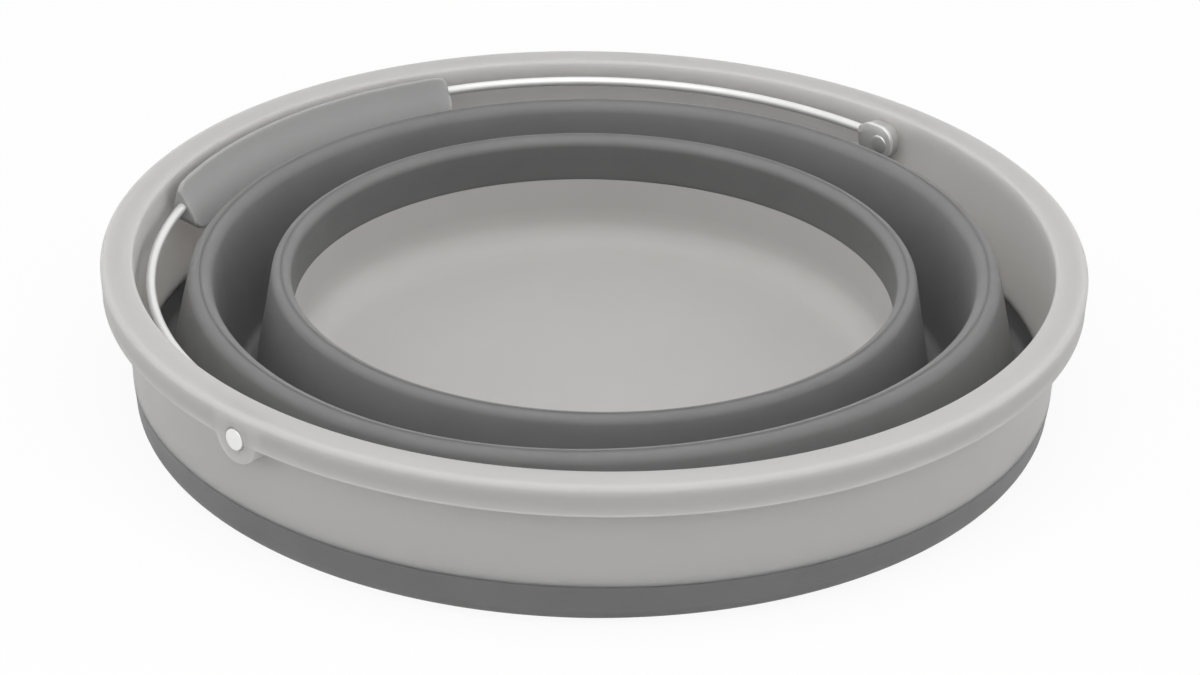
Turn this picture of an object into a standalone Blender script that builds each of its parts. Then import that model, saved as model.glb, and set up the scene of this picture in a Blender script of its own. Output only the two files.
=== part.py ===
"""Round collapsible bucket with a wire bail handle, modelled folded flat.

Units are metres and +Z is up. The origin is the centre of the foot ring's underside.
A stiff rim ring and a stiff base dish are joined by a rubbery bellows. The bellows is
one moulding, divided here at its living hinges into five concentric rings.
"""

import math

import bmesh
import bpy

MM = 0.001

# Driving sizes of the whole bucket. The other circles are set out from the dish outwards.
BASE_RADIUS = 103.8 * MM
FOLDED_HEIGHT = 56.0 * MM

# Bellows: wall thickness, spacing of its hinge circles, and each hinge's bend and height
BELLOWS_THICKNESS = 2.8 * MM
DISH_TO_INNER_CREST = 1.1 * MM
INNER_CREST_TO_FOLD = 12.9 * MM
INNER_FOLD_TO_OUTER_CREST = 14.1 * MM
OUTER_CREST_TO_FOLD = 16.0 * MM
OUTER_FOLD_CLEARANCE = 1.0 * MM
OUTER_FOLD_BEND = 4.7 * MM
OUTER_CREST_DEPTH = 5.3 * MM
OUTER_CREST_BEND = 2.8 * MM
INNER_FOLD_CLEARANCE = 3.5 * MM
INNER_FOLD_BEND = 4.7 * MM
INNER_CREST_DEPTH = 6.5 * MM
INNER_CREST_BEND = 2.0 * MM
OUTER_BAND_RISE = 9.0 * MM
OUTER_BAND_FLARE = 0.4 * MM
BASE_BAND_DROP = 10.75 * MM

# Rim ring: a channel lip on a slightly tapered wall
LIP_WIDTH = 10.8 * MM
LIP_EDGE_RADIUS = 3.2 * MM
LIP_SKIRT_DEPTH = 10.8 * MM
LIP_SKIRT_TAPER = 0.6 * MM
LIP_THICKNESS = 2.4 * MM
SKIRT_THICKNESS = 2.0 * MM
SKIRT_CHAMFER = 0.3 * MM
CHANNEL_CORNER = 1.0 * MM
MOUTH_EDGE_RADIUS = 1.0 * MM
RIM_WALL_THICKNESS = 3.4 * MM
RIM_WALL_DRAFT = 2.4 * MM
RIM_INNER_STEP = 1.0 * MM

# Tongue that the rubbery material is moulded round, on the ring and on the dish
TONGUE_THICKNESS = 1.0 * MM
TONGUE_LENGTH = 4.0 * MM

# Base dish
DISH_WALL_THICKNESS = 2.8 * MM
DISH_WALL_DRAFT = 0.9 * MM
DISH_FLOOR_HEIGHT = 9.2 * MM
DISH_FLOOR_THICKNESS = 2.5 * MM
DISH_FLOOR_CROWN = 0.5 * MM
DISH_FILLET_RADIUS = 10.0 * MM
FOOT_WIDTH = 4.6 * MM
FOOT_EDGE_RADIUS = 4.0 * MM
FOOT_DRAFT = 1.6 * MM
FOOT_INNER_SLOPE = 1.2 * MM
GATE_RADIUS = 8.0 * MM
GATE_DEPTH = 0.8 * MM

# Handle pivots, one at each end of a line through the bucket's axis
PIVOT_AZIMUTH = math.radians(47.3)
PIVOT_DEPTH = 10.0 * MM
LOBE_RADIUS = 7.9 * MM
LOBE_FILLET_RADIUS = 2.4 * MM
LOBE_SETBACK = 0.1 * MM
LOBE_OVERLAP = 0.2 * MM
PAD_HALF_WIDTH = 7.5 * MM
PAD_HALF_HEIGHT = 6.2 * MM
PAD_CORNER_RADIUS = 3.0 * MM
PAD_SHIFT = 0.8 * MM
PAD_HEIGHT = 3.3 * MM
SHANK_RADIUS = 2.0 * MM
OUTER_HEAD_RADIUS = 4.35 * MM
OUTER_HEAD_THICKNESS = 1.4 * MM
OUTER_HEAD_CHAMFER = 0.5 * MM
COUNTERBORE_CLEARANCE = 0.6 * MM
COUNTERBORE_DEPTH = 0.9 * MM
INNER_HEAD_RADIUS = 3.3 * MM
INNER_HEAD_THICKNESS = 1.3 * MM
TOOL_OVERSHOOT = 3.0 * MM

# Bail handle
WIRE_DIAMETER = 3.3 * MM
BAIL_TILT = math.radians(0.45)
BAIL_OFFSET = 1.9 * MM
BAIL_LEAN = 1.5 * MM
BAIL_TWIST = 0.9 * MM
PADDLE_THICKNESS = 1.8 * MM
PADDLE_HALF_LENGTH = 7.0 * MM
PADDLE_HALF_HEIGHT = 5.8 * MM
PADDLE_CORNER_RADIUS = 4.0 * MM
PADDLE_SHIFT = 0.9 * MM
NECK_START = 5.6 * MM
NECK_LENGTH = 5.0 * MM
NECK_HALF_HEIGHT = 1.7 * MM
NECK_SINK = 0.1 * MM
GRIP_LENGTH = 139.3 * MM
GRIP_SHIFT = 3.2 * MM
GRIP_THICKNESS = 6.0 * MM
GRIP_ABOVE_WIRE = 5.2 * MM
GRIP_BELOW_WIRE = 10.4 * MM
GRIP_EDGE_RADIUS = 2.4 * MM
GRIP_TOP_CORNER = 5.0 * MM
GRIP_LOWER_CORNER_LENGTH = 12.0 * MM
GRIP_LOWER_CORNER_HEIGHT = 6.0 * MM
GRIP_END_WALL = 0.8 * MM

# Space between neighbouring pieces, and the number of facets of round shapes
FIT_GAP = 0.3 * MM
TURN_STEPS = 48
PIN_STEPS = 20
WIRE_SIDES = 10
WIRE_STEPS = 42
NECK_STEPS = 3
GRIP_STEPS = 16

INNER_CREST_RADIUS = BASE_RADIUS + DISH_TO_INNER_CREST
INNER_FOLD_RADIUS = INNER_CREST_RADIUS + INNER_CREST_TO_FOLD
OUTER_CREST_RADIUS = INNER_FOLD_RADIUS + INNER_FOLD_TO_OUTER_CREST
OUTER_FOLD_RADIUS = OUTER_CREST_RADIUS + OUTER_CREST_TO_FOLD
RIM_FOOT_RADIUS = OUTER_FOLD_RADIUS + OUTER_FOLD_BEND - BELLOWS_THICKNESS / 2.0 + OUTER_BAND_FLARE
MOUTH_RADIUS = RIM_FOOT_RADIUS + RIM_WALL_DRAFT
LIP_RADIUS = MOUTH_RADIUS + LIP_WIDTH
PIVOT_HEIGHT = FOLDED_HEIGHT - PIVOT_DEPTH
COUNTERBORE_RADIUS = OUTER_HEAD_RADIUS + COUNTERBORE_CLEARANCE
FACET_SHRINK = math.cos(math.pi / TURN_STEPS)


def clear_scene():
    for thing in list(bpy.data.objects):
        bpy.data.objects.remove(thing, do_unlink=True)


def plastic(name, color, roughness, metallic=0.0):
    material = bpy.data.materials.new(name)
    material.use_nodes = True
    shader = material.node_tree.nodes["Principled BSDF"]
    shader.inputs["Base Color"].default_value = (*color, 1.0)
    shader.inputs["Roughness"].default_value = roughness
    shader.inputs["Metallic"].default_value = metallic
    return material


def finish_object(name, shape, material):
    """Turn a bmesh into a smooth-shaded object with its creases kept sharp."""
    bmesh.ops.recalc_face_normals(shape, faces=shape.faces)
    mesh = bpy.data.meshes.new(name)
    shape.to_mesh(mesh)
    shape.free()
    mesh.shade_smooth()
    mesh.set_sharp_from_angle(angle=math.radians(35.0))
    if material is not None:
        mesh.materials.append(material)
    thing = bpy.data.objects.new(name, mesh)
    bpy.context.collection.objects.link(thing)
    return thing


def arc(centre, radius, start, end, steps):
    """Points along an arc in a plane, with its angles in degrees."""
    points = []
    for step in range(steps + 1):
        angle = math.radians(start + (end - start) * step / steps)
        points.append((centre[0] + radius * math.cos(angle), centre[1] + radius * math.sin(angle)))
    return points


def turned(name, outline, material):
    """Turn an outline of (radius, height) points once round the bucket's axis.

    An outline that starts and ends on the axis makes a solid disc, any other a ring.
    A flat facet faces each handle pivot.
    """
    start = PIVOT_AZIMUTH + math.pi / TURN_STEPS
    shape = bmesh.new()
    corners = []
    for radius, height in outline:
        corners.append(shape.verts.new((radius * math.cos(start), radius * math.sin(start), height)))
    edges = [shape.edges.new(pair) for pair in zip(corners, corners[1:])]
    if outline[0][0] > 0.0:
        edges.append(shape.edges.new((corners[-1], corners[0])))
    bmesh.ops.spin(
        shape,
        geom=corners + edges,
        cent=(0.0, 0.0, 0.0),
        axis=(0.0, 0.0, 1.0),
        angle=2.0 * math.pi,
        steps=TURN_STEPS,
        use_merge=True,
    )
    bmesh.ops.remove_doubles(shape, verts=shape.verts, dist=0.001 * MM)
    return finish_object(name, shape, material)


def loft(name, sections, material):
    """Skin a row of closed sections that have the same number of points, and cap its ends."""
    shape = bmesh.new()
    rings = [[shape.verts.new(point) for point in section] for section in sections]
    for first, second in zip(rings, rings[1:]):
        for i in range(len(first)):
            shape.faces.new((first[i - 1], first[i], second[i], second[i - 1]))
    shape.faces.new(rings[0])
    shape.faces.new(rings[-1])
    return finish_object(name, shape, material)


def combine(target, tool, operation):
    """Add a Boolean with a hidden tool object, which keeps its place under its parent."""
    tool.hide_render = True
    tool.display_type = "WIRE"
    modifier = target.modifiers.new(tool.name, "BOOLEAN")
    modifier.operation = operation
    modifier.solver = "EXACT"
    modifier.object = tool


def side_frame(side):
    """Rotation about Z that turns local +X to the pivot on one side, +1 back or -1 front."""
    return (0.0, 0.0, PIVOT_AZIMUTH if side > 0 else PIVOT_AZIMUTH + math.pi)


def outline_prism(name, outline, near, far, side):
    """Extrude an outline of (sideways, height above the pivot) points along the pivot's line."""
    sections = [[(distance, y, z) for y, z in outline] for distance in (near, far)]
    thing = loft(name, sections, None)
    thing.location = (0.0, 0.0, PIVOT_HEIGHT)
    thing.rotation_euler = side_frame(side)
    return thing


def disc_outline(radius, centre=(0.0, 0.0), steps=PIN_STEPS):
    return arc(centre, radius, 0.0, 360.0, steps)[:-1]


def rim_seat():
    """Heights and radii of the joint between the rim's wall and the bellows."""
    outer_height = folded_hinges()["outer_fold"][1] + OUTER_BAND_RISE
    return {
        "inner": RIM_FOOT_RADIUS,
        "outer": RIM_FOOT_RADIUS + RIM_WALL_THICKNESS,
        "outer_height": outer_height,
        "inner_height": outer_height + RIM_INNER_STEP,
        "tongue": RIM_FOOT_RADIUS + (RIM_WALL_THICKNESS - TONGUE_THICKNESS) / 2.0,
        "tongue_end": outer_height - TONGUE_LENGTH,
    }


def rim_wall_radius(height):
    """Inner radius of the rim's drafted wall at a height above the foot."""
    top = FOLDED_HEIGHT - MOUTH_EDGE_RADIUS
    bottom = rim_seat()["outer_height"]
    return MOUTH_RADIUS - RIM_WALL_DRAFT * (top - height) / (top - bottom)


def rim_outline():
    top = FOLDED_HEIGHT
    seat = rim_seat()
    edge_centre = (LIP_RADIUS - LIP_EDGE_RADIUS, top - LIP_EDGE_RADIUS)
    skirt_foot = LIP_RADIUS - LIP_SKIRT_TAPER
    skirt_bottom = top - LIP_SKIRT_DEPTH
    ceiling = top - LIP_THICKNESS
    channel_outer = LIP_RADIUS - SKIRT_THICKNESS
    channel_inner = MOUTH_RADIUS + RIM_WALL_THICKNESS
    corner = CHANNEL_CORNER
    outline = [(seat["inner"], seat["inner_height"])]
    outline += arc((MOUTH_RADIUS + MOUTH_EDGE_RADIUS, top - MOUTH_EDGE_RADIUS), MOUTH_EDGE_RADIUS, 180, 90, 2)
    outline += arc(edge_centre, LIP_EDGE_RADIUS, 90, 0, 4)
    outline += [(skirt_foot, skirt_bottom + SKIRT_CHAMFER), (skirt_foot - SKIRT_CHAMFER, skirt_bottom)]
    outline += [(skirt_foot - SKIRT_THICKNESS, skirt_bottom)]
    outline += [(channel_outer, ceiling - corner), (channel_outer - corner, ceiling)]
    outline += [(channel_inner + corner, ceiling), (channel_inner, ceiling - corner)]
    outline += [(seat["outer"], seat["outer_height"])]
    outline += [(seat["tongue"] + TONGUE_THICKNESS, seat["outer_height"])]
    outline += [(seat["tongue"] + TONGUE_THICKNESS, seat["tongue_end"]), (seat["tongue"], seat["tongue_end"])]
    outline += [(seat["tongue"], seat["inner_height"])]
    return outline


def lobe_outline():
    """Round lobe below the skirt's edge, with a concave fillet on each side.

    The points are (sideways, height above the pivot), and the top stays inside the lip.
    """
    edge = PIVOT_DEPTH - LIP_SKIRT_DEPTH + LOBE_OVERLAP
    fillet = LOBE_FILLET_RADIUS
    fillet_height = edge - fillet
    fillet_side = math.sqrt((LOBE_RADIUS + fillet) ** 2 - fillet_height**2)
    touch = math.degrees(math.atan2(fillet_height, fillet_side))
    right = arc((fillet_side, fillet_height), fillet, 90, 180 + touch, 3)
    bowl = arc((0.0, 0.0), LOBE_RADIUS, touch, -180 - touch, 10)[1:-1]
    left = [(-y, z) for y, z in reversed(right)]
    inside_lip = (COUNTERBORE_RADIUS + PIVOT_DEPTH - LIP_THICKNESS) / 2.0
    return right + bowl + left + [(-fillet_side, inside_lip), (fillet_side, inside_lip)]


def lobe_face_distance():
    """Distance of the lobe's face from the bucket's axis, level with the skirt's edge."""
    return (LIP_RADIUS - LIP_SKIRT_TAPER) * FACET_SHRINK - LOBE_SETBACK


def pad_outline(side):
    """Rounded rectangle of the inner pad, which sits a little towards the grip."""
    outline = rounded_box_outline(PAD_HALF_WIDTH, PAD_HALF_HEIGHT, PAD_CORNER_RADIUS, 3)
    return [(y + side * PAD_SHIFT, z) for y, z in outline]


def pad_face_distance():
    """Distance of the inner pad's flat face from the bucket's axis."""
    return rim_wall_radius(PIVOT_HEIGHT) * FACET_SHRINK - PAD_HEIGHT


def make_rim_ring(material):
    ring = turned("rim_ring", rim_outline(), material)
    lobe_face = lobe_face_distance()
    pad = pad_face_distance()
    inside_wall = rim_wall_radius(PIVOT_HEIGHT) + RIM_WALL_THICKNESS / 2.0
    for side, place in ((1, "back"), (-1, "front")):
        lobe = outline_prism("lobe_tool_" + place, lobe_outline(), inside_wall, lobe_face, side)
        combine(ring, lobe, "UNION")
        boss = outline_prism("pad_tool_" + place, pad_outline(side), pad, inside_wall, side)
        combine(ring, boss, "UNION")
        bore = outline_prism(
            "bore_tool_" + place,
            disc_outline(SHANK_RADIUS + FIT_GAP),
            pad - TOOL_OVERSHOOT,
            LIP_RADIUS + TOOL_OVERSHOOT,
            side,
        )
        combine(ring, bore, "DIFFERENCE")
        recess = outline_prism(
            "recess_tool_" + place,
            disc_outline(COUNTERBORE_RADIUS),
            lobe_face - COUNTERBORE_DEPTH,
            LIP_RADIUS + TOOL_OVERSHOOT,
            side,
        )
        combine(ring, recess, "DIFFERENCE")
    return ring


def folded_hinges():
    """Centre and middle-line radius of each hinge of the folded bellows, as (radius, height, bend)."""
    half = BELLOWS_THICKNESS / 2.0

    def low(radius, clearance, bend):
        return (radius, clearance + half + bend, bend)

    def high(radius, depth, bend):
        return (radius, FOLDED_HEIGHT - depth - half - bend, bend)

    return {
        "outer_fold": low(OUTER_FOLD_RADIUS, OUTER_FOLD_CLEARANCE, OUTER_FOLD_BEND),
        "outer_crest": high(OUTER_CREST_RADIUS, OUTER_CREST_DEPTH, OUTER_CREST_BEND),
        "inner_fold": low(INNER_FOLD_RADIUS, INNER_FOLD_CLEARANCE, INNER_FOLD_BEND),
        "inner_crest": high(INNER_CREST_RADIUS, INNER_CREST_DEPTH, INNER_CREST_BEND),
    }


def sloping_wall(crest, fold):
    """Outline of a bellows wall from the top of a crest to the bottom of a fold.

    Its straight stretch is tangent to both bends. Each end stops half a fit gap short
    of the hinge's own radius, where the next ring of the bellows takes over.
    """
    half = BELLOWS_THICKNESS / 2.0
    side = 1 if fold[0] > crest[0] else -1
    across = math.hypot(fold[0] - crest[0], fold[1] - crest[1])
    towards = math.atan2(fold[1] - crest[1], fold[0] - crest[0])
    lean = math.acos((fold[2] + crest[2]) / across)
    normal = math.degrees(towards + side * lean) % 360.0
    fold_start = (normal + 180.0) % 360.0
    upper = arc(crest, crest[2] + half, 90, normal, 5)
    upper += arc(fold, fold[2] - half, fold_start, 270, 3)
    lower = arc(fold, fold[2] + half, 270, fold_start, 4)
    lower += arc(crest, crest[2] - half, normal, 90, 3)
    trim = side * FIT_GAP / 2.0
    for path, first, last in ((upper, trim, -trim), (lower, -trim, trim)):
        path[0] = (path[0][0] + first, path[0][1])
        path[-1] = (path[-1][0] + last, path[-1][1])
    return upper + lower


def outer_band_outline(fold):
    """Rubbery band below the rim's wall, down to the bottom of the outer fold."""
    seat = rim_seat()
    half = BELLOWS_THICKNESS / 2.0
    gap = FIT_GAP
    tongue_inner = seat["tongue"] - gap
    tongue_outer = seat["tongue"] + TONGUE_THICKNESS + gap
    floor = seat["tongue_end"] - gap
    outside = arc(fold, fold[2] + half, -90, 0, 4)
    inside = arc(fold, fold[2] - half, 0, -90, 3)
    outside[0] = (outside[0][0] + gap / 2.0, outside[0][1])
    inside[-1] = (inside[-1][0] + gap / 2.0, inside[-1][1])
    outline = outside + [(seat["outer"], seat["outer_height"] - gap)]
    outline += [(tongue_outer, seat["outer_height"] - gap), (tongue_outer, floor), (tongue_inner, floor)]
    outline += [(tongue_inner, seat["inner_height"] - gap), (seat["inner"], seat["inner_height"] - gap)]
    return outline + inside


def dish_seat():
    """Radii and heights of the joint between the dish's wall and the bellows."""
    inner = BASE_RADIUS - DISH_WALL_THICKNESS
    height = folded_hinges()["inner_crest"][1] - BASE_BAND_DROP
    return {
        "inner": inner,
        "height": height,
        "tongue": inner + (DISH_WALL_THICKNESS - TONGUE_THICKNESS) / 2.0,
        "tongue_end": height + TONGUE_LENGTH,
    }


def base_band_outline(crest):
    """Rubbery band from the top of the inner crest down to the dish's rim."""
    seat = dish_seat()
    half = BELLOWS_THICKNESS / 2.0
    gap = FIT_GAP
    bottom = seat["height"] + gap
    tongue_inner = seat["tongue"] - gap
    tongue_outer = seat["tongue"] + TONGUE_THICKNESS + gap
    ceiling = seat["tongue_end"] + gap
    outside = arc(crest, crest[2] + half, 90, 180, 5)
    inside = arc(crest, crest[2] - half, 180, 90, 3)
    outside[0] = (outside[0][0] - gap / 2.0, outside[0][1])
    inside[-1] = (inside[-1][0] - gap / 2.0, inside[-1][1])
    outline = outside + [(seat["inner"], bottom), (tongue_inner, bottom)]
    outline += [(tongue_inner, ceiling), (tongue_outer, ceiling), (tongue_outer, bottom)]
    outline += [(BASE_RADIUS, bottom)]
    return outline + inside


def dish_outline():
    seat = dish_seat()
    wall_foot = seat["inner"] - DISH_WALL_DRAFT
    fillet_centre = (wall_foot - DISH_FILLET_RADIUS, DISH_FLOOR_HEIGHT + DISH_FILLET_RADIUS)
    underside = DISH_FLOOR_HEIGHT - DISH_FLOOR_THICKNESS
    foot_outer = BASE_RADIUS - FOOT_DRAFT
    foot_flat = foot_outer - FOOT_EDGE_RADIUS
    tongue_outer = seat["tongue"] + TONGUE_THICKNESS
    outline = [(0.0, DISH_FLOOR_HEIGHT + DISH_FLOOR_CROWN)]
    outline += [(fillet_centre[0] / 2.0, DISH_FLOOR_HEIGHT + DISH_FLOOR_CROWN * 3.0 / 4.0)]
    outline += arc(fillet_centre, DISH_FILLET_RADIUS, -90, 0, 5)
    outline += [(seat["inner"], seat["height"]), (seat["tongue"], seat["height"])]
    outline += [(seat["tongue"], seat["tongue_end"]), (tongue_outer, seat["tongue_end"])]
    outline += [(tongue_outer, seat["height"]), (BASE_RADIUS, seat["height"])]
    outline += arc((foot_flat, FOOT_EDGE_RADIUS), FOOT_EDGE_RADIUS, 0, -90, 3)
    outline += [(foot_flat - FOOT_WIDTH, 0.0), (foot_flat - FOOT_WIDTH - FOOT_INNER_SLOPE, underside)]
    outline += [(GATE_RADIUS, underside), (GATE_RADIUS, underside + GATE_DEPTH), (0.0, underside + GATE_DEPTH)]
    return outline


def rivet_outline(inner_face, outer_face):
    """Half outline of a rivet along its own axis, as (distance from the bucket's axis, radius)."""
    inner_tip = inner_face - INNER_HEAD_THICKNESS
    outer_tip = outer_face + OUTER_HEAD_THICKNESS
    dome = []
    for turn in (90.0, 60.0, 30.0, 0.0):
        reach = INNER_HEAD_THICKNESS * math.sin(math.radians(turn))
        dome.append((inner_face - reach, INNER_HEAD_RADIUS * math.cos(math.radians(turn))))
    dome[0] = (inner_tip, 0.0)
    return dome + [
        (inner_face, SHANK_RADIUS),
        (outer_face, SHANK_RADIUS),
        (outer_face, OUTER_HEAD_RADIUS),
        (outer_tip - OUTER_HEAD_CHAMFER, OUTER_HEAD_RADIUS),
        (outer_tip, OUTER_HEAD_RADIUS - OUTER_HEAD_CHAMFER),
        (outer_tip, 0.0),
    ]


def make_rivet(name, side, material):
    """Rivet turned about the pivot's line, through the rim's bore and the handle's eye."""
    inner_face = paddle_faces()[0] - FIT_GAP
    outer_face = lobe_face_distance() - COUNTERBORE_DEPTH + FIT_GAP
    shape = bmesh.new()
    corners = [shape.verts.new((x, radius, 0.0)) for x, radius in rivet_outline(inner_face, outer_face)]
    edges = [shape.edges.new(pair) for pair in zip(corners, corners[1:])]
    bmesh.ops.spin(
        shape,
        geom=corners + edges,
        cent=(0.0, 0.0, 0.0),
        axis=(1.0, 0.0, 0.0),
        angle=2.0 * math.pi,
        steps=PIN_STEPS,
        use_merge=True,
    )
    bmesh.ops.remove_doubles(shape, verts=shape.verts, dist=0.001 * MM)
    rivet = finish_object(name, shape, material)
    rivet.location = (0.0, 0.0, PIVOT_HEIGHT)
    rivet.rotation_euler = side_frame(side)
    return rivet


def paddle_faces():
    """Inner and outer distance of the flattened wire end from the bucket's axis."""
    outer = pad_face_distance() - FIT_GAP
    return (outer - PADDLE_THICKNESS, outer)


def bail_radius():
    """Radius of the wire's middle line, which lies close behind the pad's face."""
    return paddle_faces()[1] - WIRE_DIAMETER / 2.0


def rounded_box_outline(half_width, half_height, radius, steps):
    """Rounded rectangle round the origin, anticlockwise."""
    outline = []
    for quarter in range(4):
        turn = math.radians(90.0 * quarter)
        centre_x = (half_width - radius) * (1 if quarter in (0, 3) else -1)
        centre_y = (half_height - radius) * (1 if quarter in (0, 1) else -1)
        for step in range(steps + 1):
            angle = turn + math.radians(90.0) * step / steps
            outline.append((centre_x + radius * math.cos(angle), centre_y + radius * math.sin(angle)))
    return outline


def smooth(value):
    value = min(max(value, 0.0), 1.0)
    return value * value * (3.0 - 2.0 * value)


def wire_height(angle):
    """Height of the wire's middle line in the bail's frame, highest at the back pivot."""
    return BAIL_OFFSET + BAIL_LEAN * math.cos(angle) + BAIL_TWIST * math.sin(2.0 * angle)


def wire_angles():
    """Angles of the wire's rings round the bail, closer together at its two necks."""
    start = NECK_START / bail_radius()
    neck = NECK_LENGTH / bail_radius()
    first = [start + neck * step / NECK_STEPS for step in range(NECK_STEPS)]
    span = math.pi - 2.0 * (start + neck)
    middle = [start + neck + span * step / WIRE_STEPS for step in range(WIRE_STEPS + 1)]
    return first + middle + [math.pi - angle for angle in reversed(first)]


def wire_sections():
    """Rings of the wire from one flattened end to the other, in the bail's own plane."""
    radius = bail_radius()
    inner, outer = paddle_faces()
    round_half = WIRE_DIAMETER / 2.0
    flat_half = PADDLE_THICKNESS / 2.0 - NECK_SINK
    flat_middle = (inner + outer) / 2.0
    angles = wire_angles()
    sections = []
    for angle in angles:
        from_end = (min(angle, math.pi - angle) - angles[0]) * radius
        roundness = smooth(from_end / NECK_LENGTH)
        middle = flat_middle + (radius - flat_middle) * roundness
        half_deep = flat_half + (round_half - flat_half) * roundness
        half_high = NECK_HALF_HEIGHT + (round_half - NECK_HALF_HEIGHT) * roundness
        section = []
        for corner in range(WIRE_SIDES):
            turn = 2.0 * math.pi * (corner + 0.5) / WIRE_SIDES
            reach = middle + half_deep * math.cos(turn)
            height = wire_height(angle) + half_high * math.sin(turn)
            section.append((reach * math.cos(angle), reach * math.sin(angle), height))
        sections.append(section)
    return sections


def paddle_tool(side):
    """Flattened end of the wire: a rounded plate square to the pivot's line."""
    outline = rounded_box_outline(PADDLE_HALF_LENGTH, PADDLE_HALF_HEIGHT, PADDLE_CORNER_RADIUS, 4)
    sections = []
    for distance in paddle_faces():
        sections.append([(side * distance, PADDLE_SHIFT + y, z) for y, z in outline])
    return loft("paddle_tool_" + ("back" if side > 0 else "front"), sections, None)


def eye_tool(side):
    inner, outer = paddle_faces()
    sections = []
    for distance in (inner - WIRE_DIAMETER, outer + WIRE_DIAMETER):
        sections.append([(side * distance, y, z) for y, z in disc_outline(SHANK_RADIUS + FIT_GAP)])
    return loft("eye_tool_" + ("back" if side > 0 else "front"), sections, None)


def make_wire(material, pivot):
    wire = loft("handle_wire", wire_sections(), material)
    wire.parent = pivot
    for side in (1, -1):
        paddle = paddle_tool(side)
        eye = eye_tool(side)
        paddle.parent = pivot
        eye.parent = pivot
        combine(wire, paddle, "UNION")
        combine(wire, eye, "DIFFERENCE")
    return wire


def grip_end_trim(from_end, corner_length, corner_height):
    """How much a rounded corner takes off the grip's edge at a distance from its end."""
    if from_end >= corner_length:
        return 0.0
    share = 1.0 - from_end / corner_length
    return corner_height * (1.0 - math.sqrt(max(0.0, 1.0 - share * share)))


def channel_radius():
    return WIRE_DIAMETER / 2.0 + FIT_GAP


def grip_angle(along):
    """Angle round the bail at a share of the grip's length."""
    return math.pi / 2.0 + (GRIP_SHIFT + GRIP_LENGTH * (along - 0.5)) / bail_radius()


def grip_sections():
    """Rounded-bar sections of the grip along the wire, in the bail's own plane."""
    radius = bail_radius()
    top_drop = GRIP_ABOVE_WIRE - channel_radius() - GRIP_END_WALL
    sections = []
    for step in range(GRIP_STEPS + 1):
        along = (1.0 - math.cos(math.pi * step / GRIP_STEPS)) / 2.0
        angle = grip_angle(along)
        from_end = min(along, 1.0 - along) * GRIP_LENGTH
        above = GRIP_ABOVE_WIRE - grip_end_trim(from_end, GRIP_TOP_CORNER, top_drop)
        below = GRIP_BELOW_WIRE - grip_end_trim(from_end, GRIP_LOWER_CORNER_LENGTH, GRIP_LOWER_CORNER_HEIGHT)
        half_height = (above + below) / 2.0
        middle = (above - below) / 2.0
        section = []
        for x, z in rounded_box_outline(GRIP_THICKNESS / 2.0, half_height, GRIP_EDGE_RADIUS, 2):
            reach = radius + x
            height = wire_height(angle) + middle + z
            section.append((reach * math.cos(angle), reach * math.sin(angle), height))
        sections.append(section)
    return sections


def channel_tool():
    """Swept cutter for the grip's wire channel, with its rings at the wire's own."""
    radius = bail_radius()
    bore = channel_radius()
    beyond = 2.0 * GRIP_THICKNESS / radius
    low = grip_angle(0.0) - beyond
    high = grip_angle(1.0) + beyond
    angles = [angle for angle in wire_angles() if low < angle < high]
    sections = []
    for angle in angles:
        section = []
        for corner in range(WIRE_SIDES):
            turn = 2.0 * math.pi * (corner + 0.5) / WIRE_SIDES
            away = radius + bore * math.cos(turn)
            height = wire_height(angle) + bore * math.sin(turn)
            section.append((away * math.cos(angle), away * math.sin(angle), height))
        sections.append(section)
    return loft("channel_tool", sections, None)


def make_grip(material, pivot):
    grip = loft("handle_grip", grip_sections(), material)
    channel = channel_tool()
    grip.parent = pivot
    channel.parent = pivot
    combine(grip, channel, "DIFFERENCE")
    return grip


def make_pivot():
    """Empty on the hinge's line: local +X runs along it and local +Y towards the grip."""
    pivot = bpy.data.objects.new("handle_pivot", None)
    pivot.location = (0.0, 0.0, PIVOT_HEIGHT)
    pivot.rotation_euler = (BAIL_TILT, 0.0, PIVOT_AZIMUTH)
    bpy.context.collection.objects.link(pivot)
    return pivot


def make_bellows(material):
    hinges = folded_hinges()
    outer_fold = hinges["outer_fold"]
    outer_crest = hinges["outer_crest"]
    inner_fold = hinges["inner_fold"]
    inner_crest = hinges["inner_crest"]
    turned("bellows_outer_band", outer_band_outline(outer_fold), material)
    turned("bellows_outer_fold", sloping_wall(outer_crest, outer_fold), material)
    turned("bellows_middle_band", sloping_wall(outer_crest, inner_fold), material)
    turned("bellows_inner_fold", sloping_wall(inner_crest, inner_fold), material)
    turned("bellows_base_band", base_band_outline(inner_crest), material)


def main():
    clear_scene()
    light_grey = plastic("light_grey_plastic", (0.53, 0.53, 0.51), 0.45)
    dark_grey = plastic("dark_grey_rubber", (0.12, 0.12, 0.122), 0.6)
    cool_grey = plastic("cool_grey_plastic", (0.30, 0.31, 0.315), 0.5)
    steel = plastic("polished_steel", (0.80, 0.80, 0.79), 0.18, 1.0)
    make_rim_ring(light_grey)
    make_bellows(dark_grey)
    turned("base_dish", dish_outline(), light_grey)
    pivot = make_pivot()
    make_wire(steel, pivot)
    make_grip(cool_grey, pivot)
    make_rivet("pivot_rivet_back", 1, steel)
    make_rivet("pivot_rivet_front", -1, steel)


main()
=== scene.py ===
"""Looks of the folded bucket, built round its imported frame.

Lengths are in metres and +Z is up. An outline is a list of (radius, height) points that is
turned about the bucket's axis. Azimuths run from +X towards +Y.
"""

import math

import bmesh
import bpy
from mathutils import Matrix, Vector


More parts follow.
